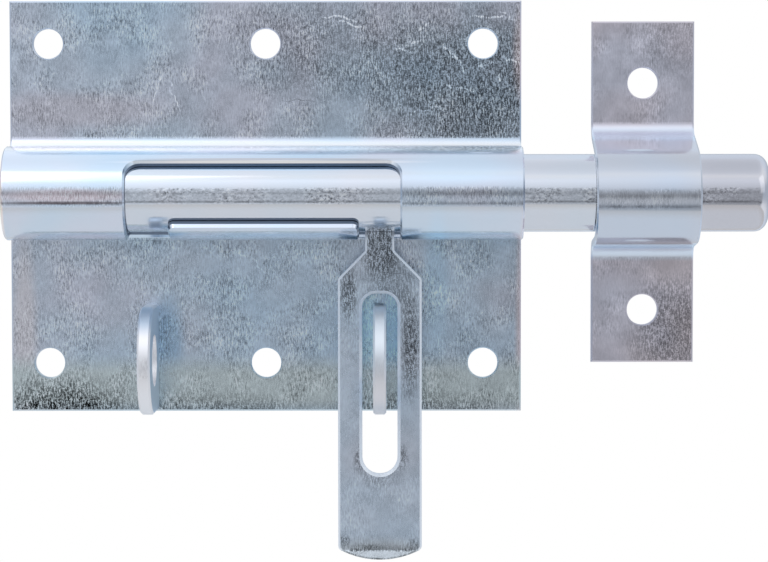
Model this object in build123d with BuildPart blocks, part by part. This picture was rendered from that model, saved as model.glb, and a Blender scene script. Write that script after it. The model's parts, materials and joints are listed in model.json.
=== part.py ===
# A padlockable slide bolt of zinc-plated steel: a folded plate whose middle is wrapped into a barrel, the
# round bolt inside it, the slotted handle that hangs from the bolt, two padlock staples and a separate keeper
# strap.
#
# Frame: the plate lies on a door whose face is y = 0. X runs along the bolt towards the keeper, Z is up, and
# everything stands out from the door towards -Y. The origin is the middle of the plate's screw holes.

import os
from math import cos, radians, sin, tan

from build123d import *

# Sheet and plate
sheet = 1.75
plate_length = 120.0
screw_end_margin = 9.0
screw_row_spacing = 75.0
top_margin = 10.0
bottom_margin = 11.4
screw_hole_diameter = 7.0
edge_break = 0.35
hole_edge_break = 0.25

# Bolt
bolt_diameter = 18.0
bolt_beyond_plate = 56.6
bolt_over_plate_length = 45.0
bolt_above_holes = 2.6
door_gap = 0.25
nose_round = 3.0
tail_chamfer = 1.0

# Barrel: the legs lean in, by a negative angle, so that the bolt can't drop out at the back. The lower leg is
# tucked further under the bolt, with a tighter bend.
bolt_clearance = 0.15
barrel_upper_lean = -15.0
barrel_upper_bend = 3.0
barrel_lower_lean = -20.0
barrel_lower_bend = 1.5

# Window in the barrel, with a lip that holds the bolt in and a notch at each end of the lip for the handle.
# The notches stop an angle short of the barrel's leg.
window_length = 63.2
window_edge_angle = 43.5
window_corner = 3.5
notch_clearance = 1.4
notch_leg_margin = 4.0
lip_corner = 1.5
window_break_depth = 0.8
window_break_width = 0.4

# Handle: its neck stands in a notch, and its slot drops over a staple
neck_width = 6.8
weld_gap = 0.05
shoulder_clearance = 2.5
shoulder_height = 6.5
shoulder_round = 1.0
blade_width = 19.5
blade_thickness = 2.0
blade_reach = 85.4
blade_front_break = 0.5
blade_back_break = 0.25
slot_length = 42.1
slot_end_clearance = 2.75
slot_side_clearance = 2.6
slot_top_corner = 3.2
slot_bottom_corner = 4.0
slot_front_break = 0.7
tip_length = 2.4
tip_arc_radius = 22.0
tip_corner = 1.2
tip_bend_radius = 2.0
tip_bend_angle = 35.0

# Staples, their ears standing on the plate and their tenons peened flush at its back
staple_thickness = 3.0
staple_width = 25.0
staple_drop = 36.0
staple_edge_break = 0.45
padlock_hole_diameter = 12.0
padlock_hole_height = 12.1
tenon_width = 5.0
tenon_pitch = 12.0
tenon_fit = 0.05
peen_depth = 0.6
peen_angle = 45.0

# Keeper: looser than the barrel, and a little low, so that the nose finds its way in
keeper_gap = 16.5
keeper_width = 24.0
keeper_height = 80.0
keeper_clearance = 0.75
keeper_drop = 0.6
keeper_upper_lean = 20.0
keeper_lower_lean = 8.0
keeper_bend = 3.0
keeper_hole_diameter = 7.2
keeper_hole_spacing = 53.2
keeper_holes_below_bolt = 1.0

# Worked out from the sizes above. The handle's places are counted down from the bolt's axis.
bolt_radius = bolt_diameter / 2
bolt_height = bolt_radius + door_gap
bore_radius = bolt_radius + bolt_clearance
barrel_radius = bore_radius + sheet
notch_wrap = 90 - barrel_lower_lean - notch_leg_margin
bolt_reach = plate_length / 2 + bolt_beyond_plate
bolt_length = plate_length + bolt_over_plate_length
screw_column_pitch = plate_length / 2 - screw_end_margin
plate_top = screw_row_spacing / 2 + top_margin
plate_bottom = -screw_row_spacing / 2 - bottom_margin
notch_width = neck_width + 2 * notch_clearance
handle_x = (window_length - notch_width) / 2
lip_end = window_length / 2 - notch_width
shoulder_start = barrel_radius + shoulder_clearance
shoulder_end = shoulder_start + shoulder_height
slot_start = bolt_above_holes + staple_drop - staple_width / 2 - slot_end_clearance
slot_width = staple_thickness + 2 * slot_side_clearance
tip_rise = tip_arc_radius - (tip_arc_radius**2 - (blade_width / 2) ** 2) ** 0.5
blade_side_end = blade_reach - tip_rise
tip_bend_start = blade_reach - tip_length
padlock_hole_axis = sheet + padlock_hole_height
keeper_centre = plate_length / 2 + keeper_gap + keeper_width / 2
keeper_holes_z = bolt_above_holes - keeper_holes_below_bolt
keeper_bottom = bolt_above_holes - keeper_height / 2
keeper_top = bolt_above_holes + keeper_height / 2

# How far an edge may lie from where it is looked for
tolerance = 0.01


def section_at(x):
    # A plane across the bolt. A sketch on it reads (height off the door, Z).
    return Plane(origin=(x, 0, 0), x_dir=(0, -1, 0), z_dir=(-1, 0, 0))


def disc(x, height, z, radius):
    # A round section across x, centred at a height off the door.
    with BuildSketch(section_at(x)) as section:
        with Locations((height, z)):
            Circle(radius)
    return section.sketch


def strip_side(centre, radius, face, outside, legs):
    # One face of a strip that lies on the door, rises through a bend and a leg, wraps round a centre and
    # comes down the same way. The legs, lower and upper, each give a lean outwards, the radius of the inner
    # side of the bend and where the flange ends. Outside is how much wider the bends of this face are.
    (lower_lean, _, _), (upper_lean, _, _) = legs
    crown = CenterArc(centre, radius, lower_lean - 90, 180 - lower_lean - upper_lean)
    for start, side, (lean, inner_bend, end) in zip((crown @ 0, crown @ 1), (-1, 1), legs):
        bend = inner_bend + outside
        reach = (radius + bend + (centre[0] - face - bend) * sin(radians(lean))) / cos(radians(lean))
        turn = CenterArc((face + bend, centre[1] + side * reach), bend, 180, side * (90 - lean))
        Line(start, turn @ 1)
        Line(turn @ 0, (face, end))


def strip_section(x, centre, radius, legs):
    # The strip's section across x: its back and front faces, closed at both ends. The radius is the bore's.
    with BuildSketch(section_at(x)) as section:
        with BuildLine():
            strip_side(centre, radius, 0, sheet, legs)
            strip_side(centre, radius + sheet, sheet, 0, legs)
            for _, _, end in legs:
                Line((0, end), (sheet, end))
        make_face()
    return section.sketch


def wall_sector(x, start_angle, end_angle):
    # A slice through the barrel's wall, between angles counted upwards from straight out of the door.
    axis = (bolt_height, bolt_above_holes)
    sweep_angle = end_angle - start_angle
    with BuildSketch(section_at(x)) as sector:
        with BuildLine():
            inner = CenterArc(axis, bolt_radius, start_angle, sweep_angle)
            outer = CenterArc(axis, barrel_radius + sheet, start_angle, sweep_angle)
            Line(inner @ 0, outer @ 0)
            Line(inner @ 1, outer @ 1)
        make_face()
    return sector.sketch


def tenons(x, fit):
    # The tenons of the staple at x, through the plate and flared at the door where they are peened. The fit
    # widens them into the plate's slots.
    width = staple_thickness + 2 * fit
    length = tenon_width + 2 * fit
    flare = 2 * peen_depth * tan(radians(peen_angle))
    with BuildPart() as pair:
        for z in (-staple_drop - tenon_pitch / 2, -staple_drop + tenon_pitch / 2):
            door_side = Plane(origin=(x, 0, z), x_dir=(1, 0, 0), z_dir=(0, -1, 0))
            with BuildSketch(door_side):
                Rectangle(width, length)
            extrude(amount=sheet)
            with BuildSketch(door_side):
                Rectangle(width + flare, length + flare)
            extrude(amount=peen_depth, taper=peen_angle)
    return pair.part


def front_rim(strip):
    # The outer rim of a strip's face away from the door: its crown's two ends, from which a chamfer runs on
    # down the legs and flanges, and the long edges of the flanges.
    crown_ends = strip.edges().filter_by(GeomType.CIRCLE).group_by(Axis.Y)[0]
    long_edges = strip.edges().filter_by(Axis.X).group_by(Axis.Z)
    return crown_ends + long_edges[0].sort_by(Axis.Y)[:1] + long_edges[-1].sort_by(Axis.Y)[:1]


def screw_hole_rims(strip):
    # The circles that the screw holes leave in a strip's face away from the door.
    circles = strip.edges().filter_by(GeomType.CIRCLE).filter_by(lambda edge: edge.is_closed)
    return circles.group_by(Axis.Y)[0]


def on_window_rim(edge):
    # Whether an edge lies on the barrel's outer face and between its ends.
    middle = edge @ 0.5
    off_axis = Vector(0, middle.Y + bolt_height, middle.Z - bolt_above_holes).length
    return abs(off_axis - barrel_radius) < tolerance and abs(middle.X) < window_length / 2 + tolerance


# The window and its notches, as the tools that punch them
with BuildPart() as window_punch:
    extrude(wall_sector(0, -window_edge_angle, window_edge_angle), amount=window_length / 2, both=True)
    radial_edges = window_punch.edges().filter_by(GeomType.LINE).filter_by(Axis.X, reverse=True)
    fillet(radial_edges.group_by(Axis.Z)[-1], radius=window_corner)

with BuildPart() as notch_punch:
    extrude(wall_sector(handle_x, -notch_wrap, 0), amount=notch_width / 2, both=True)
    mirror(about=Plane.YZ)

# Base plate
with BuildPart() as base_plate:
    plate_legs = (
        (barrel_lower_lean, barrel_lower_bend, plate_bottom),
        (barrel_upper_lean, barrel_upper_bend, plate_top),
    )
    plate_section = strip_section(0, (bolt_height, bolt_above_holes), bore_radius, plate_legs)
    extrude(plate_section, amount=plate_length / 2, both=True)
    chamfer(front_rim(base_plate), length=edge_break)
    with BuildSketch(Plane.XZ):
        with GridLocations(screw_column_pitch, screw_row_spacing, 3, 2):
            Circle(screw_hole_diameter / 2)
    extrude(amount=sheet, mode=Mode.SUBTRACT)
    chamfer(screw_hole_rims(base_plate), length=hole_edge_break)
    add(window_punch.part, mode=Mode.SUBTRACT)
    add(notch_punch.part, mode=Mode.SUBTRACT)
    for end in (-lip_end, lip_end):
        lip_side = base_plate.edges().filter_by_position(Axis.X, end - tolerance, end + tolerance)
        fillet(lip_side.filter_by(GeomType.LINE).sort_by(Axis.Y)[0], radius=lip_corner)
    window_rim = base_plate.edges().filter_by(on_window_rim)
    barrel_face = base_plate.faces().filter_by(GeomType.CYLINDER).sort_by(SortBy.AREA)[-1]
    chamfer(window_rim, length=window_break_width, length2=window_break_depth, reference=barrel_face)
    for x in (-handle_x, handle_x):
        add(tenons(x, tenon_fit), mode=Mode.SUBTRACT)

# Bolt
with BuildPart() as bolt_rod:
    extrude(disc(bolt_reach, bolt_height, bolt_above_holes, bolt_radius), amount=bolt_length)
    rims = bolt_rod.edges().filter_by(GeomType.CIRCLE).sort_by(Axis.X)
    fillet(rims[-1], radius=nose_round)
    chamfer(rims[0], length=tail_chamfer)

# Handle: the outline seen from the front, kept where it meets the bent blade seen from the side
handle_front = Plane(origin=(handle_x, -bolt_height, bolt_above_holes), x_dir=(1, 0, 0), z_dir=(0, -1, 0))
with BuildPart() as hasp_handle:
    with BuildSketch(handle_front) as outline:
        with BuildLine():
            right_side = Polyline(
                (0, 0),
                (neck_width / 2, 0),
                (neck_width / 2, -shoulder_start),
                (blade_width / 2, -shoulder_end),
                (blade_width / 2, -blade_side_end),
            )
            mirror(about=Plane.YZ)
            ThreePointArc(right_side @ 1, (0, -blade_reach), (-blade_width / 2, -blade_side_end))
        make_face()
        corners = outline.vertices().group_by(Axis.Y)
        fillet(corners[1] + corners[2], radius=shoulder_round)
        fillet(outline.vertices().group_by(Axis.Y)[0], radius=tip_corner)
        with BuildSketch(mode=Mode.SUBTRACT) as slot:
            with Locations((0, -slot_start - slot_length / 2)):
                Rectangle(slot_width, slot_length)
            fillet(slot.vertices().group_by(Axis.Y)[0], radius=slot_bottom_corner)
            fillet(slot.vertices().group_by(Axis.Y)[-1], radius=slot_top_corner)
    extrude(amount=bolt_height, both=True)
    with BuildSketch(section_at(handle_x)):
        with BuildLine():
            stem = Line((bolt_height, bolt_above_holes), (bolt_height, bolt_above_holes - tip_bend_start))
            tip_bend = JernArc(stem @ 1, stem % 1, tip_bend_radius, tip_bend_angle)
            Line(tip_bend @ 1, (tip_bend @ 1) + (tip_bend % 1) * tip_length)
        trace(line_width=blade_thickness)
    extrude(amount=blade_width, both=True, mode=Mode.INTERSECT)
    neck_seat = disc(handle_x, bolt_height, bolt_above_holes, bolt_radius + weld_gap)
    extrude(neck_seat, amount=neck_width, both=True, mode=Mode.SUBTRACT)
    back, front = hasp_handle.faces().filter_by(Axis.Y).sort_by(Axis.Y, reverse=True)
    slot_rim = front.inner_wires()[0].edges()
    outer_rim = front.outer_wire().edges().filter_by(Axis.X, reverse=True)
    back_rims = back.edges().filter_by(Axis.X, reverse=True)
    chamfer(slot_rim, length=slot_front_break)
    chamfer(outer_rim, length=blade_front_break)
    chamfer(back_rims, length=blade_back_break)

# Keeper
keeper_front = Plane(origin=(keeper_centre, 0, keeper_holes_z), x_dir=(1, 0, 0), z_dir=(0, -1, 0))
with BuildPart() as keeper_strap:
    strap_legs = (
        (keeper_lower_lean, keeper_bend, keeper_bottom),
        (keeper_upper_lean, keeper_bend, keeper_top),
    )
    strap_axis = (bolt_height, bolt_above_holes - keeper_drop)
    strap_section = strip_section(keeper_centre, strap_axis, bolt_radius + keeper_clearance, strap_legs)
    extrude(strap_section, amount=keeper_width / 2, both=True)
    chamfer(front_rim(keeper_strap), length=edge_break)
    with BuildSketch(keeper_front):
        with GridLocations(0, keeper_hole_spacing, 1, 2):
            Circle(keeper_hole_diameter / 2)
    extrude(amount=sheet, mode=Mode.SUBTRACT)
    chamfer(screw_hole_rims(keeper_strap), length=hole_edge_break)

pieces = {
    "base_plate": base_plate.part,
    "bolt_rod": bolt_rod.part,
    "hasp_handle": hasp_handle.part,
    "keeper_strap": keeper_strap.part,
}

# Staples
for name, x in (("left_staple", -handle_x), ("right_staple", handle_x)):
    with BuildPart() as staple:
        with BuildSketch(section_at(x)):
            with BuildLine():
                Polyline(
                    (padlock_hole_axis, -staple_drop - staple_width / 2),
                    (sheet, -staple_drop - staple_width / 2),
                    (sheet, -staple_drop + staple_width / 2),
                    (padlock_hole_axis, -staple_drop + staple_width / 2),
                )
                CenterArc((padlock_hole_axis, -staple_drop), staple_width / 2, -90, 180)
            make_face()
        extrude(amount=staple_thickness / 2, both=True)
        ear_edges = staple.faces().filter_by(Axis.X).edges().sort_by(Axis.Y)
        chamfer(ear_edges[:-2], length=staple_edge_break)
        padlock_hole = disc(x, padlock_hole_axis, -staple_drop, padlock_hole_diameter / 2)
        extrude(padlock_hole, amount=staple_thickness, both=True, mode=Mode.SUBTRACT)
        add(tenons(x, 0))
    pieces[name] = staple.part

os.makedirs("parts", exist_ok=True)
for name, piece in pieces.items():
    piece.label = name
    export_step(piece, f"parts/{name}.step")
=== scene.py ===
import json
import math

import bmesh
import bpy
from mathutils import Matrix, Vector

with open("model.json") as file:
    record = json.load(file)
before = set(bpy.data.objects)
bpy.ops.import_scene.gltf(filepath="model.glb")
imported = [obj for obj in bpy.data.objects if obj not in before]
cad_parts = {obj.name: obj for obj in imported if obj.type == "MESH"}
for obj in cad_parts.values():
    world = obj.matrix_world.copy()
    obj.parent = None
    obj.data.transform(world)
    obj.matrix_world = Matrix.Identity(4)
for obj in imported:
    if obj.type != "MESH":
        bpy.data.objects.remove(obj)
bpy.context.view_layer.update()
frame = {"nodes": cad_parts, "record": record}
print("frame loaded:", ", ".join(sorted(frame["nodes"])))


# Node helpers: each takes a tree and sockets, and gives back the socket that comes out

def isSocket(value):
    return isinstance(value, bpy.types.NodeSocket)


def feed(tree, value, socket):
    if isSocket(value):
        tree.links.new(value, socket)
    else:
        socket.default_value = value


def calc(tree, operation, first, second=0.0):
    node = tree.nodes.new("ShaderNodeMath")
    node.operation = operation
    feed(tree, first, node.inputs[0])
    feed(tree, second, node.inputs[1])
    return node.outputs[0]


def total(tree, sockets):
    result = sockets[0]
    for socket in sockets[1:]:
        result = calc(tree, "ADD", result, socket)
    return result


def spread(tree, source, low, high, toLow, toHigh, kind="SMOOTHSTEP"):
    # Maps the stretch from low to high onto toLow to toHigh.
    node = tree.nodes.new("ShaderNodeMapRange")
    node.interpolation_type = kind
    for name, value in (("From Min", low), ("From Max", high), ("To Min", toLow), ("To Max", toHigh)):
        node.inputs[name].default_value = value
    tree.links.new(source, node.inputs["Value"])
    return node.outputs["Result"]


def between(tree, factor, first, second):
    # Goes from the first number to the second as the factor goes from 0 to 1.
    node = tree.nodes.new("ShaderNodeMix")
    for index, value in ((0, factor), (2, first), (3, second)):
        feed(tree, value, node.inputs[index])
    return node.outputs[0]


def vector(tree, operation, first, second=None):
    # Vector arithmetic. A length or a dot product comes out as a number.
    node = tree.nodes.new("ShaderNodeVectorMath")
    node.operation = operation
    feed(tree, first, node.inputs[0])
    if second is not None:
        feed(tree, second, node.inputs[1])
    return node.outputs["Value" if operation in ("LENGTH", "DOT_PRODUCT") else "Vector"]


def scaled(tree, source, amount):
    # A vector or a colour, times a number.
    node = tree.nodes.new("ShaderNodeVectorMath")
    node.operation = "SCALE"
    tree.links.new(source, node.inputs[0])
    feed(tree, amount, node.inputs["Scale"])
    return node.outputs["Vector"]


def separate(tree, source):
    node = tree.nodes.new("ShaderNodeSeparateXYZ")
    tree.links.new(source, node.inputs["Vector"])
    return node.outputs


def mapped(tree, place, shift=(0, 0, 0), turn=(0, 0, 0), scale=(1, 1, 1)):
    # A place scaled, then turned by degrees, then shifted.
    node = tree.nodes.new("ShaderNodeMapping")
    node.inputs["Location"].default_value = shift
    node.inputs["Rotation"].default_value = [math.radians(angle) for angle in turn]
    node.inputs["Scale"].default_value = scale
    tree.links.new(place, node.inputs["Vector"])
    return node.outputs["Vector"]


def ramp(tree, source, stops):
    # A colour ramp. Each stop is a place from 0 to 1 and a grey or a colour.
    node = tree.nodes.new("ShaderNodeValToRGB")
    elements = node.color_ramp.elements
    while len(elements) < len(stops):
        elements.new(1)
    for element, (place, shade) in zip(elements, stops):
        element.position = place
        element.color = (*shade, 1) if isinstance(shade, tuple) else (shade, shade, shade, 1)
    tree.links.new(source, node.inputs["Fac"])
    return node.outputs["Color"]


def blend(tree, factor, first, second):
    # Mixes two colours, each a socket or a colour.
    node = tree.nodes.new("ShaderNodeMix")
    node.data_type = "RGBA"
    feed(tree, factor, node.inputs[0])
    for index, value in ((6, first), (7, second)):
        feed(tree, value if isSocket(value) else (*value, 1), node.inputs[index])
    return node.outputs[2]


def noise(tree, place, size, stretch=(1, 1, 1), offset=(0, 0, 0), detail=2, roughness=0.5,
          output="Fac"):
    # Noise with features of about the given size in metres, drawn out along an axis by stretch.
    node = tree.nodes.new("ShaderNodeTexNoise")
    node.inputs["Scale"].default_value = 1 / size
    node.inputs["Detail"].default_value = detail
    node.inputs["Roughness"].default_value = roughness
    stretched = mapped(tree, place, shift=offset, scale=[1 / length for length in stretch])
    tree.links.new(stretched, node.inputs["Vector"])
    return node.outputs[output]


# Zinc plate: one finish, with a dictionary of values for each kind of piece

# Most of a noise's values lie in this range
noiseRange = (0.3, 0.7)
# An oval or a strip has its full strength inside this share of its half size
fullWithin = 0.3


def oval(tree, place, centre, reach):
    # A soft oval on the front of a piece: its centre and half size in X and Z, in metres.
    scale = (1 / reach[0], 0, 1 / reach[1])
    shift = (-centre[0] / reach[0], 0, -centre[1] / reach[1])
    away = vector(tree, "LENGTH", mapped(tree, place, shift, scale=scale))
    return spread(tree, away, 1, fullWithin, 0, 1)


def strip(tree, place, middle, reach):
    # A soft level strip: its middle and half height in Z, in metres.
    away = calc(tree, "ABSOLUTE", calc(tree, "SUBTRACT", separate(tree, place)["Z"], middle))
    return spread(tree, away, reach, reach * fullWithin, 0, 1)


def scratch(tree, place, middle, length, width, angle):
    # A thin line on the front of a piece, at an angle from +X.
    centred = mapped(tree, place, shift=(-middle[0], 0, -middle[1]))
    turned = mapped(tree, centred, turn=(0, angle, 0), scale=(1, 0, 1))
    along = separate(tree, turned)
    ends = spread(tree, calc(tree, "ABSOLUTE", along["X"]), length / 2, length / 4, 0, 1)
    sides = spread(tree, calc(tree, "ABSOLUTE", along["Z"]), width, 0, 0, 1)
    return calc(tree, "MULTIPLY", ends, sides)


def surfaceOf(tree, look):
    # Where a point is on its piece, and the noises that the finish is made from.
    place = tree.nodes.new("ShaderNodeTexCoord").outputs["Object"]
    normal = tree.nodes.new("ShaderNodeNewGeometry").outputs["Normal"]
    fromAxis = mapped(tree, place, shift=(0, -look["axis"][0], -look["axis"][1]), scale=(0, 1, 1))
    radius = vector(tree, "LENGTH", fromAxis)
    facingOut = calc(tree, "ABSOLUTE", vector(tree, "DOT_PRODUCT", normal, look["bandTowards"]))
    return {
        "place": place,
        "normal": normal,
        "fromAxis": fromAxis,
        "radius": radius,
        "crown": spread(tree, radius, look["crownReach"], look["crownReach"] + look["crownFade"], 1, 0),
        "flat": spread(tree, facingOut, *look["bandEdge"], 0, 1),
        "front": spread(tree, separate(tree, normal)["Y"], *look["frontEdge"], 0, 1),
        "cloud": noise(tree, place, look["cloudSize"], offset=(3, 1, 7)),
        "mottle": noise(tree, place, look["mottleSize"], detail=3, roughness=0.6),
        "grain": noise(tree, place, look["grainSize"], stretch=look["grainStretch"], roughness=0.6),
        "pits": noise(tree, place, look["pitSize"], offset=(9, 4, 2), roughness=0.6),
    }


def textureOf(tree, look, at):
    # How strongly the texture shows: on the flats, in clumps. On a round part it is a band along the
    # line that faces out.
    coarse = noise(tree, at["place"], look["clumpSize"], offset=(5, 2, 8), detail=1)
    clumps = spread(tree, coarse, *look["clumpEdge"], 1 - look["clumping"], 1 + look["clumping"])
    onBand = spread(tree, at["crown"], 0, 1, 1, look["bandTexture"], "LINEAR")
    return calc(tree, "MULTIPLY", calc(tree, "MULTIPLY", at["flat"], onBand), clumps)


def grained(tree, look, at, texture):
    # The brightness that the mottle, the grain and the dark and pale pits give, about 1.
    marks = total(tree, [
        spread(tree, at["mottle"], *noiseRange, -look["mottleDepth"], look["mottleDepth"], "LINEAR"),
        spread(tree, at["grain"], *noiseRange, -look["grainDepth"], look["grainDepth"], "LINEAR"),
        spread(tree, at["pits"], *look["darkPits"], 0, -look["pitDepth"]),
        spread(tree, at["pits"], *look["palePits"], 0, look["pitDepth"]),
    ])
    return calc(tree, "ADD", 1, calc(tree, "MULTIPLY", marks, texture))


def stainedAndShaded(tree, look, at, shade):
    # Dark speckled patches on the front, faint on the crown: some are stains, some are painted shade and
    # painted dark reflections.
    both = calc(tree, "ADD", at["pits"], at["grain"])
    speckle = spread(tree, both, *look["speckleEdge"], *look["speckleDepth"], "LINEAR")
    onFlat = calc(tree, "MULTIPLY", at["flat"], spread(tree, at["crown"], 0, 1, 1, look["crownSpeckle"]))
    speckle = calc(tree, "MULTIPLY", speckle, calc(tree, "MULTIPLY", onFlat, at["front"]))
    for centre, reach, depth in look["patches"]:
        dark = calc(tree, "MULTIPLY", oval(tree, at["place"], centre, reach), speckle)
        dark = calc(tree, "MULTIPLY", dark, depth)
        shade = calc(tree, "MULTIPLY", shade, calc(tree, "SUBTRACT", 1, dark))
    return shade


def scored(tree, look, at, shade):
    # Scratches on the front, which waver and are broken up by the grain. Also gives back where they are.
    broken = spread(tree, at["grain"], *look["wornEdge"], look["wornLeast"], 1)
    worn = calc(tree, "MULTIPLY", broken, at["front"])
    waver = noise(tree, at["place"], look["waverSize"], offset=(1, 6, 4), output="Color")
    waver = scaled(tree, vector(tree, "SUBTRACT", waver, (0.5, 0.5, 0.5)), look["waverReach"])
    wavering = vector(tree, "ADD", at["place"], waver)
    scoring = 0.0
    for middle, length, width, angle, strength in look["scratches"]:
        line = calc(tree, "MULTIPLY", scratch(tree, wavering, middle, length, width, angle), worn)
        shade = calc(tree, "ADD", shade, calc(tree, "MULTIPLY", line, strength))
        scoring = calc(tree, "MAXIMUM", line, scoring)
    return shade, scoring


def tinted(tree, look, at):
    # Clouds of three tints, with ovals and strips of other tints on the front, and the tint of the crown.
    # Some ovals and strips are painted highlights, painted reflections and painted shade, marked where
    # they are listed.
    tints = (look["coolTint"], look["colour"], look["warmTint"])
    colour = ramp(tree, at["cloud"], list(zip(look["cloudStops"], tints)))
    for centre, reach, tint in look["tints"]:
        here = calc(tree, "MULTIPLY", oval(tree, at["place"], centre, reach), at["front"])
        colour = blend(tree, here, colour, tint)
    for middle, reach, tint in look["strips"]:
        here = calc(tree, "MULTIPLY", strip(tree, at["place"], middle, reach), at["front"])
        colour = blend(tree, here, colour, tint)
    return vector(tree, "MULTIPLY", colour, blend(tree, at["crown"], (1, 1, 1), look["crownTint"]))


def onMattRimAndHighlight(tree, look, at):
    # Broken edges, by how far their normals turn from the front: matt zinc with a painted highlight.
    turn = calc(tree, "ABSOLUTE", separate(tree, at["normal"])["Y"])
    return calc(tree, "MULTIPLY", spread(tree, turn, *look["sideEdge"], 0, 1),
                spread(tree, turn, *look["faceEdge"], 0, 1))


def onSideReflection(tree, look, at):
    # Faces that look along the bolt, which get a painted bluer reflection.
    sideways = calc(tree, "ABSOLUTE", separate(tree, at["normal"])["X"])
    return spread(tree, sideways, *look["edge"], 0, 1)


def onCuts(tree, look, at):
    # Faces cut through the wall of the barrel: near its axis, and square to its round faces.
    near = spread(tree, at["radius"], look["reach"], look["reach"] + look["fade"], 1, 0)
    radial = vector(tree, "DOT_PRODUCT", vector(tree, "NORMALIZE", at["fromAxis"]), at["normal"])
    square = spread(tree, calc(tree, "ABSOLUTE", radial), *look["edge"], 1, 0)
    return calc(tree, "MULTIPLY", near, square)


def zincFinish(name, look):
    material = bpy.data.materials.new(name)
    material.use_nodes = True
    tree = material.node_tree
    tree.nodes.clear()
    output = tree.nodes.new("ShaderNodeOutputMaterial")
    shader = tree.nodes.new("ShaderNodeBsdfPrincipled")
    shader.inputs["Metallic"].default_value = 1
    tree.links.new(shader.outputs["BSDF"], output.inputs["Surface"])

    at = surfaceOf(tree, look)
    texture = textureOf(tree, look, at)
    shade = stainedAndShaded(tree, look, at, grained(tree, look, at, texture))
    shade, scoring = scored(tree, look, at, shade)
    colour = tinted(tree, look, at)
    rough = spread(tree, at["crown"], 0, 1, look["roughness"], look["crownRoughness"], "LINEAR")
    variation = look["roughnessVariation"]
    uneven = spread(tree, at["mottle"], *noiseRange, -variation, variation)
    rough = calc(tree, "ADD", rough, calc(tree, "MULTIPLY", uneven, at["flat"]))
    # A scratch scatters the light around it
    rough = calc(tree, "ADD", rough, calc(tree, "MULTIPLY", scoring, look["scratchRoughness"]))

    # Broken edges are matt, and painted pale: a painted highlight where a rounded edge would catch the
    # light
    if look["rim"]:
        rim = onMattRimAndHighlight(tree, look["rim"], at)
        colour = blend(tree, rim, colour, look["rim"]["colour"])
        shade = between(tree, rim, shade, 1)
        rough = between(tree, rim, rough, look["rim"]["roughness"])
        metallic = spread(tree, rim, 0, 1, 1, look["rim"]["metallic"], "LINEAR")
        tree.links.new(metallic, shader.inputs["Metallic"])
    # Faces that look along the bolt are painted bluer: a painted reflection
    if look["sides"]:
        colour = blend(tree, onSideReflection(tree, look["sides"], at), colour, look["sides"]["colour"])
    # Cut faces in the barrel's wall are painted dark: partly dull cut zinc, partly painted shade from the
    # gap between the sheet and the bolt
    if look["cutShade"]:
        cutShade = onCuts(tree, look["cutShade"], at)
        colour = blend(tree, cutShade, colour, look["cutShade"]["colour"])
        rough = calc(tree, "ADD", rough, calc(tree, "MULTIPLY", cutShade, look["cutShade"]["extraRoughness"]))
    tree.links.new(scaled(tree, colour, shade), shader.inputs["Base Color"])
    tree.links.new(rough, shader.inputs["Roughness"])

    height = total(tree, [
        calc(tree, "MULTIPLY", at["grain"], look["grainHeight"]),
        calc(tree, "MULTIPLY", at["pits"], look["pitHeight"]),
        calc(tree, "MULTIPLY", at["mottle"], look["mottleHeight"]),
    ])
    bump = tree.nodes.new("ShaderNodeBump")
    bump.inputs["Strength"].default_value = 1
    bump.inputs["Distance"].default_value = 1
    tree.links.new(calc(tree, "MULTIPLY", height, texture), bump.inputs["Height"])
    tree.links.new(bump.outputs["Normal"], shader.inputs["Normal"])
    return material


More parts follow.
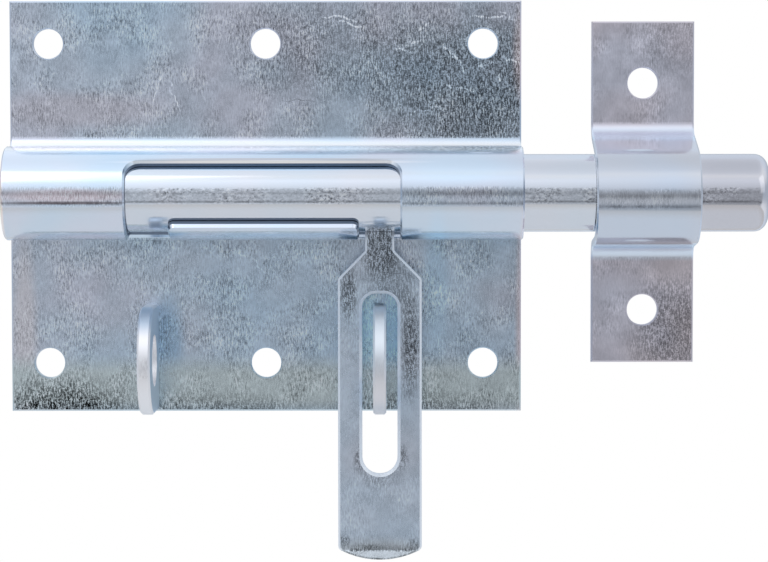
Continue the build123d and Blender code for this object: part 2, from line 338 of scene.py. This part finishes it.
# Places and sizes are in metres, in X and Z from the frame's origin. A scratch has a middle, a length, a
# half width, an angle in degrees and a strength, which is negative where it is dark. A patch has a centre,
# a half size and a depth. A tint has a centre, a half size and a colour. A strip has a middle in Z, a half
# height and a colour. The axis is the bolt's, in Y and Z. An edge gives where a mask starts and ends.
plateLook = {
    "colour": (0.66, 0.74, 0.83),
    "coolTint": (0.60, 0.73, 0.85),
    "warmTint": (0.72, 0.73, 0.81),
    "cloudSize": 0.030,
    "cloudStops": (0.35, 0.5, 0.65),
    "mottleSize": 0.004,
    "mottleDepth": 0.08,
    "mottleHeight": 0.000002,
    "grainSize": 0.0003,
    "grainStretch": (1, 1, 4),
    "grainDepth": 0.34,
    "grainHeight": 0.000006,
    "clumpSize": 0.009,
    "clumpEdge": (0.35, 0.65),
    "clumping": 0.6,
    "pitSize": 0.00028,
    "pitDepth": 0.42,
    "pitHeight": 0.000003,
    "darkPits": (0.36, 0.30),
    "palePits": (0.62, 0.70),
    "axis": (-0.00925, 0.0026),
    "crownReach": 0.0125,
    "crownFade": 0.002,
    "crownTint": (1.07, 1.06, 1.05),
    "bandTowards": (0, -0.9985, -0.055),
    "bandEdge": (0.972, 0.988),
    "bandTexture": 0.9,
    "frontEdge": (0.2, -0.2),
    "roughness": 0.28,
    "roughnessVariation": 0.04,
    "crownRoughness": 0.15,
    "scratchRoughness": 0.35,
    "wornEdge": (0.36, 0.60),
    "wornLeast": 0.1,
    "waverSize": 0.0035,
    "waverReach": 0.0035,
    "scratches": (
        ((0.0345, 0.0380), 0.0070, 0.00040, 25, 0.55),
        ((0.0375, 0.0415), 0.0060, 0.00036, 50, 0.5),
        ((0.0315, 0.0360), 0.0040, 0.00036, -10, 0.55),
        ((0.0440, 0.0345), 0.0110, 0.00045, -54, 0.55),
        ((0.0180, 0.0432), 0.0100, 0.00028, -8, 0.7),
        ((0.0195, 0.0420), 0.0080, 0.00028, -10, 0.6),
        ((0.0525, 0.0435), 0.0100, 0.00032, -6, 0.6),
        ((0.0565, 0.0440), 0.0050, 0.00032, -25, 0.55),
        ((0.0520, 0.0325), 0.0060, 0.00032, 18, 0.6),
        ((0.0580, 0.0330), 0.0040, 0.00028, -15, 0.7),
        ((0.0555, 0.0300), 0.0050, 0.00028, 75, 0.6),
        ((0.0460, 0.0270), 0.0080, 0.00028, -12, 0.5),
        ((0.0380, 0.0220), 0.0120, 0.00028, 15, 0.4),
        ((-0.0255, 0.0265), 0.0090, 0.00022, 70, 0.35),
        ((-0.0215, 0.0255), 0.0090, 0.00022, 110, 0.35),
        ((0.0080, 0.0240), 0.0120, 0.00030, 2, -0.7),
        ((0.0330, 0.0300), 0.0080, 0.00030, 12, -0.6),
        ((0.0310, 0.0330), 0.0070, 0.00032, 90, -0.7),
        ((0.0290, 0.0180), 0.0120, 0.00030, 18, -0.55),
        ((-0.0495, -0.0440), 0.0080, 0.00020, 15, 0.5),
        ((-0.0040, -0.0130), 0.0120, 0.00022, -35, 0.3),
        ((0.0150, -0.0170), 0.0070, 0.00022, 85, 0.3),
    ),
    "speckleEdge": (1.14, 0.90),
    "speckleDepth": (0.05, 1.15),
    "crownSpeckle": 0.15,
    "patches": (
        ((-0.048, -0.0510), (0.024, 0.0130), 0.90),
        ((-0.012, -0.0510), (0.030, 0.0080), 0.6),
        ((0.034, -0.0505), (0.030, 0.0085), 0.55),
        ((0.050, 0.0270), (0.034, 0.0260), 0.65),
        ((0.016, 0.0360), (0.030, 0.0160), 0.35),
        # Painted shade in the two notches under the bolt; the right one is also the handle's painted
        # shadow
        ((0.0268, -0.0078), (0.0056, 0.0016), 0.7),
        ((-0.0268, -0.0078), (0.0056, 0.0016), 0.5),
    ),
    "tints": (
        # Painted teal-blue reflection of the handle on the plate, in its slot and beside it
        ((0.0236, -0.0330), (0.0045, 0.0220), (0.62, 0.86, 1.0)),
        ((0.0302, -0.0330), (0.0040, 0.0220), (0.58, 0.82, 1.0)),
        ((0.0400, -0.0200), (0.0040, 0.0240), (0.60, 0.76, 0.90)),
        # Painted soft blue shade beside the left staple
        ((-0.0230, -0.0330), (0.0050, 0.0150), (0.50, 0.65, 0.79)),
        ((0.0450, 0.0085), (0.0200, 0.0060), (0.66, 0.77, 0.88)),
        # Painted reflections on the ends: pinkish along the upper plate's right edge, orange-brown on the
        # barrel's left end
        ((0.0605, 0.0350), (0.0034, 0.0150), (0.98, 0.86, 0.88)),
        ((-0.0600, 0.0), (0.0009, 0.0130), (1.0, 0.86, 0.78)),
        ((-0.0450, 0.0022), (0.0230, 0.0022), (0.86, 0.76, 0.80)),
        ((-0.0450, 0.0006), (0.0200, 0.0005), (0.30, 0.27, 0.29)),
        # Along the window's upper edge: a grey line painted just above it, and a painted highlight on the
        # edge
        ((0.0016, 0.01055), (0.0400, 0.00035), (0.58, 0.59, 0.63)),
        ((0.0016, 0.00990), (0.0420, 0.00060), (1.0, 0.98, 1.0)),
        # Painted pinkish reflection along the lower plate's right edge
        ((0.0605, -0.0300), (0.0024, 0.0400), (0.84, 0.74, 0.76)),
        ((-0.0570, -0.0300), (0.0040, 0.0300), (0.80, 0.77, 0.80)),
        ((-0.0450, 0.0220), (0.0300, 0.0060), (0.74, 0.72, 0.78)),
    ),
    "strips": (
        (-0.0430, 0.0085, (0.70, 0.77, 0.76)),
        # Painted highlight on the bend above the barrel
        (0.0134, 0.0016, (0.95, 0.97, 1.0)),
    ),
    # Cut faces: partly dull cut zinc, partly painted shade
    "cutShade": {
        "reach": 0.0112,
        "fade": 0.0001,
        "edge": (0.2, 0.3),
        "colour": (0.20, 0.25, 0.33),
        "extraRoughness": 0.25,
    },
    "rim": None,
    "sides": None,
}

boltLook = dict(
    plateLook, colour=(0.74, 0.77, 0.82), coolTint=(0.71, 0.77, 0.83), warmTint=(0.77, 0.77, 0.81),
    crownReach=0.02, crownTint=(1, 1, 1), crownRoughness=0.12, bandTexture=1.2,
    mottleDepth=0.05, grainSize=0.0005, grainStretch=(1.5, 1, 1), grainDepth=0.3,
    pitSize=0.0004, pitDepth=0.5, scratches=(), patches=(), strips=(), cutShade=None,
    tints=(
        ((0.1080, 0.0), (0.0160, 0.0500), (0.67, 0.66, 0.70)),
        # Painted blue reflection of the window's upper edge, along the bolt
        ((0.0016, 0.0085), (0.0420, 0.0008), (0.62, 0.82, 1.0)),
    ))

handleLook = dict(
    plateLook, colour=(0.70, 0.78, 0.87), coolTint=(0.66, 0.77, 0.88), warmTint=(0.74, 0.77, 0.84),
    crownReach=0.0, bandEdge=(0.76, 0.84), grainDepth=0.14, pitDepth=0.12,
    scratches=(), strips=(), cutShade=None,
    tints=(
        ((0.0268, -0.0815), (0.0200, 0.0050), (0.61, 0.65, 0.68)),
        ((0.0185, -0.0420), (0.0026, 0.0180), (0.76, 0.84, 0.93)),
    ),
    # Pale handle edges: a painted highlight on edges that are also matt
    rim={
        "sideEdge": (0.58, 0.64),
        "faceEdge": (0.78, 0.74),
        "colour": (0.92, 0.95, 0.99),
        "metallic": 0.5,
        "roughness": 0.4,
    },
    patches=(
        # The first four darken the neck and the top of the blade: partly dark marks, partly painted shade
        # and painted dark reflection
        ((0.0268, -0.0100), (0.0075, 0.0100), 0.70),
        ((0.0195, -0.0205), (0.0028, 0.0090), 0.65),
        ((0.0340, -0.0330), (0.0030, 0.0160), 0.72),
        ((0.0300, -0.0180), (0.0080, 0.0120), 0.40),
        ((0.0222, -0.0590), (0.0022, 0.0040), 0.5),
        ((0.0318, -0.0590), (0.0022, 0.0040), 0.5),
        ((0.0185, -0.0785), (0.0020, 0.0020), 0.5),
        ((0.0240, -0.0800), (0.0040, 0.0012), 0.4),
        ((0.0345, -0.0795), (0.0020, 0.0020), 0.4),
        ((0.0268, -0.0815), (0.0140, 0.0030), 0.40),
        ((0.0215, -0.0812), (0.0030, 0.0012), 0.75),
        ((0.0262, -0.0822), (0.0025, 0.0010), 0.60),
        ((0.0322, -0.0812), (0.0030, 0.0012), 0.65),
        ((0.0268, -0.0625), (0.0070, 0.0050), 0.3),
    ))

stapleLook = dict(
    plateLook, colour=(0.80, 0.84, 0.88), coolTint=(0.76, 0.84, 0.9), warmTint=(0.84, 0.82, 0.84),
    crownReach=0.0, mottleDepth=0.06, grainDepth=0.12, pitDepth=0.15, roughness=0.48,
    scratches=(), strips=(), cutShade=None,
    # The sides' colour is a painted reflection
    sides={"edge": (0.85, 0.95), "colour": (0.68, 0.80, 0.92)},
    tints=(
        # Painted highlight on the left staple's front, then painted dark reflection on the tops of both
        # staples
        ((-0.0268, -0.0300), (0.0100, 0.0300), (0.96, 0.94, 0.95)),
        ((-0.0268, -0.0240), (0.0100, 0.0065), (0.64, 0.74, 0.86)),
        ((0.0268, -0.0215), (0.0100, 0.0040), (0.50, 0.60, 0.72)),
    ),
    patches=(
        # Painted dark reflection on the tops of the staples
        ((0.0268, -0.0245), (0.0040, 0.0035), 0.6),
        ((-0.0268, -0.0245), (0.0040, 0.0045), 0.3),
    ))

keeperLook = dict(
    plateLook, colour=(0.72, 0.67, 0.72), coolTint=(0.69, 0.68, 0.75), warmTint=(0.76, 0.67, 0.68),
    crownTint=(0.94, 1.08, 1.12), grainDepth=0.16, pitDepth=0.15, roughness=0.36, scratches=(), cutShade=None,
    tints=(
        ((0.0885, 0.0015), (0.0300, 0.0022), (0.90, 0.80, 0.82)),
    ),
    strips=(
        # Painted highlight on the upper bend, and painted reflection of the plate along the lower edge
        (0.0165, 0.0022, (0.85, 0.89, 0.98)),
        (-0.0112, 0.0026, (0.80, 0.88, 0.98)),
    ),
    patches=(
        ((0.0960, -0.0300), (0.0120, 0.0160), 0.5),
        ((0.0970, 0.0380), (0.0120, 0.0120), 0.2),
    ))

finishes = {
    "plate": zincFinish("zinc on rolled sheet", plateLook),
    "bolt": zincFinish("zinc on drawn bar", boltLook),
    "handle": zincFinish("zinc on a stamped blank", handleLook),
    "staple": zincFinish("zinc on a stamped lug", stapleLook),
    "keeper": zincFinish("zinc on a bent strap", keeperLook),
}
for part in frame["record"]["subparts"]:
    piece = frame["nodes"][part["node"]]
    piece.data.materials.clear()
    piece.data.materials.append(finishes[part["material_slot"]])
print("finishes made")


# Floor: a pale round table under the object, which fades into the white around it

floorLook = {
    "height": -0.2,
    "radius": 0.34,
    "segments": 96,
    "colour": (0.84, 0.83, 0.815),
    "fadeStart": 0.17,
    "fadeEnd": 0.32,
    "mirrored": 0.66,
}


def makeFloor(look):
    mesh = bpy.data.meshes.new("floor")
    shape = bmesh.new()
    level = Matrix.Translation((0, 0, look["height"]))
    bmesh.ops.create_circle(shape, cap_ends=True, radius=look["radius"], segments=look["segments"],
                            matrix=level)
    shape.to_mesh(mesh)
    shape.free()
    floor = bpy.data.objects.new("floor", mesh)
    bpy.context.scene.collection.objects.link(floor)
    material = bpy.data.materials.new("pale floor")
    material.use_nodes = True
    tree = material.node_tree
    tree.nodes.clear()
    output = tree.nodes.new("ShaderNodeOutputMaterial")
    matt = tree.nodes.new("ShaderNodeBsdfDiffuse")
    matt.inputs["Color"].default_value = (*look["colour"], 1)
    white = tree.nodes.new("ShaderNodeEmission")
    seen = tree.nodes.new("ShaderNodeLightPath")
    place = tree.nodes.new("ShaderNodeTexCoord").outputs["Object"]
    span = vector(tree, "LENGTH", mapped(tree, place, scale=(1, 1, 0)))
    away = spread(tree, span, look["fadeStart"], look["fadeEnd"], 0, 1)
    direct = calc(tree, "MAXIMUM", seen.outputs["Is Camera Ray"], seen.outputs["Is Glossy Ray"])
    mix = tree.nodes.new("ShaderNodeMixShader")
    tree.links.new(calc(tree, "MULTIPLY", away, direct), mix.inputs["Fac"])
    strength = spread(tree, seen.outputs["Is Camera Ray"], 0, 1, look["mirrored"], 1, "LINEAR")
    tree.links.new(strength, white.inputs["Strength"])
    tree.links.new(matt.outputs["BSDF"], mix.inputs[1])
    tree.links.new(white.outputs["Emission"], mix.inputs[2])
    tree.links.new(mix.outputs["Shader"], output.inputs["Surface"])
    mesh.materials.append(material)


makeFloor(floorLook)
print("floor made")


# Light: a white tent with a dark opening in front, where the camera looks in, and two soft lamps. The
# rise gives the brightness in front, and straight up and down, against the sine of the elevation.

tentLook = {
    "surround": (0.93, 0.96, 1.0),
    "behind": (0.78, 0.86, 0.96),
    "behindEdge": (-0.1, 0.5),
    "horizon": (0.50, 0.56, 0.64),
    "horizonEdge": (0.60, 0.10),
    "tint": (0.93, 0.99, 1.08),
    "rise": (
        (-1.0, 0.76), (-0.475, 0.64), (-0.44, 0.22), (-0.39, 0.30), (-0.34, 0.52), (-0.10, 0.50),
        (-0.03, 0.36), (0.04, 0.385), (0.10, 0.50), (0.20, 0.66), (0.30, 0.88), (0.60, 1.08),
        (0.85, 0.97), (1.0, 0.86),
    ),
    "frontEdge": (0.60, 0.80),
    "overheadEdge": (0.75, 0.9),
    "spotTowards": (0.045, -1, 0.05),
    "spotEdge": (0.970, 0.9985),
    "spotDepth": 0.25,
    "across": (-0.15, 0.12),
    "acrossGain": (1.20, 0.84),
    "lowEdge": (-0.40, -0.44),
    "rightEdge": (0.03, 0.11),
    "lowRightGain": 0.74,
}


def makeWorld(look):
    world = bpy.data.worlds.new("tent")
    bpy.context.scene.world = world
    world.use_nodes = True
    tree = world.node_tree
    tree.nodes.clear()
    output = tree.nodes.new("ShaderNodeOutputWorld")
    towards = vector(tree, "NORMALIZE", tree.nodes.new("ShaderNodeTexCoord").outputs["Generated"])
    axis = separate(tree, towards)

    top = max(shade for rise, shade in look["rise"])
    stops = [((rise + 1) / 2, shade / top) for rise, shade in look["rise"]]
    front = ramp(tree, spread(tree, axis["Z"], -1, 1, 0, 1, "LINEAR"), stops)
    spot = vector(tree, "DOT_PRODUCT", towards, Vector(look["spotTowards"]).normalized())
    shade = spread(tree, spot, *look["spotEdge"], top, top * (1 - look["spotDepth"]))
    shade = calc(tree, "MULTIPLY", shade,
                 spread(tree, axis["X"], *look["across"], *look["acrossGain"], "LINEAR"))
    low = spread(tree, axis["Z"], *look["lowEdge"], 0, 1)
    lowRight = calc(tree, "MULTIPLY", low, spread(tree, axis["X"], *look["rightEdge"], 0, 1))
    shade = calc(tree, "MULTIPLY", shade, spread(tree, lowRight, 0, 1, 1, look["lowRightGain"], "LINEAR"))
    front = vector(tree, "MULTIPLY", scaled(tree, front, shade), look["tint"])

    behind = spread(tree, axis["Y"], *look["behindEdge"], 0, 1)
    surround = blend(tree, behind, look["surround"], look["behind"])
    level = spread(tree, calc(tree, "ABSOLUTE", axis["Z"]), *look["horizonEdge"], 0, 1)
    surround = blend(tree, level, surround, look["horizon"])
    inFront = spread(tree, calc(tree, "MULTIPLY", axis["Y"], -1), *look["frontEdge"], 0, 1)
    upright = spread(tree, calc(tree, "ABSOLUTE", axis["Z"]), *look["overheadEdge"], 0, 1)
    colour = blend(tree, calc(tree, "MAXIMUM", inFront, upright), surround, front)

    tent = tree.nodes.new("ShaderNodeBackground")
    tree.links.new(colour, tent.inputs["Color"])
    backdrop = tree.nodes.new("ShaderNodeBackground")
    backdrop.inputs["Color"].default_value = (1, 1, 1, 1)
    seen = tree.nodes.new("ShaderNodeLightPath")
    mix = tree.nodes.new("ShaderNodeMixShader")
    tree.links.new(seen.outputs["Is Camera Ray"], mix.inputs["Fac"])
    tree.links.new(tent.outputs["Background"], mix.inputs[1])
    tree.links.new(backdrop.outputs["Background"], mix.inputs[2])
    tree.links.new(mix.outputs["Shader"], output.inputs["Surface"])


lampsAim = (0.03, 0, 0)
lamps = {
    "key": {"place": (-0.5, -1.0, 1.0), "size": 0.7, "watts": 1.0},
    "fill": {"place": (0.8, -0.7, 0.5), "size": 0.8, "watts": 0.5},
}


def makeLamp(name, look):
    light = bpy.data.lights.new(name, "AREA")
    light.size = look["size"]
    light.energy = look["watts"]
    lamp = bpy.data.objects.new(name, light)
    lamp.location = look["place"]
    towards = Vector(lampsAim) - Vector(look["place"])
    lamp.rotation_euler = towards.to_track_quat("-Z", "Y").to_euler()
    bpy.context.scene.collection.objects.link(lamp)


makeWorld(tentLook)
for name, look in lamps.items():
    makeLamp(name, look)
print("light made")


# Camera: where the photograph was taken from, a little above the bolt and far off

cameraLook = {
    "place": (0.02993, -0.62857, 0.01374),
    "turn": (90 - 2.92, 0.054, 0.196),
    "focalPixels": 2665.9,
    "imageWidth": 768,
    "sensor": 36,
    "clip": (0.01, 20),
}


def makeCamera(look):
    data = bpy.data.cameras.new("camera")
    data.sensor_width = look["sensor"]
    data.sensor_fit = "HORIZONTAL"
    data.lens = look["sensor"] * look["focalPixels"] / look["imageWidth"]
    data.clip_start, data.clip_end = look["clip"]
    camera = bpy.data.objects.new("camera", data)
    camera.location = look["place"]
    camera.rotation_euler = [math.radians(angle) for angle in look["turn"]]
    bpy.context.scene.collection.objects.link(camera)
    bpy.context.scene.camera = camera


makeCamera(cameraLook)
bpy.context.scene.view_settings.view_transform = "Standard"
print("camera made")
